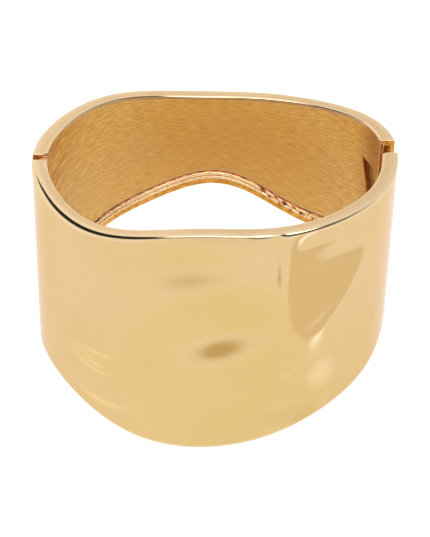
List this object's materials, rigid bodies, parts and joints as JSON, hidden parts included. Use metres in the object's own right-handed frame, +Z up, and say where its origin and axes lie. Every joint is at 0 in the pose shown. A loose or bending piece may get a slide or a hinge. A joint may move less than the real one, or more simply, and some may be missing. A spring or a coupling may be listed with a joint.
{
  "type": "hinged wide bangle bracelet",
  "caption": "Wide oval bangle with a tall softly dented front half, a lower arched back half, a pin hinge and a tongue clasp, leaning on its wavy lower edge.",
  "frame": {"origin": "on the floor under the middle of the bangle's bounds, as it rests on its lower edge", "axes": "+Z up from the floor, +X towards the clasp, +Y towards the low back half, to which the rim leans about 20 degrees"},
  "size_m": [0.0656, 0.069, 0.0416],
  "materials": {
    "polished_gold": "polished, pale gold plated",
    "brushed_gold": "brushed along the girth, gold plated",
    "pin_gold": "plain gold plated wire"
  },
  "bodies": {
    "back_half": {"back_shell": "polished_gold", "back_liner": "brushed_gold", "hinge_pin": "pin_gold"},
    "front_half": {"front_shell": "polished_gold", "front_liner": "brushed_gold", "clasp_tongue": "polished_gold"}
  },
  "joints": [
    {"name": "hinge_swing", "type": "hinge", "parent": "back_half", "child": "front_half", "pos_m": [-0.03057, -0.00009, 0.01688], "axis": [-0.0153, -0.3383, -0.9409], "range_deg": [-3.8, 40]}
  ]
}
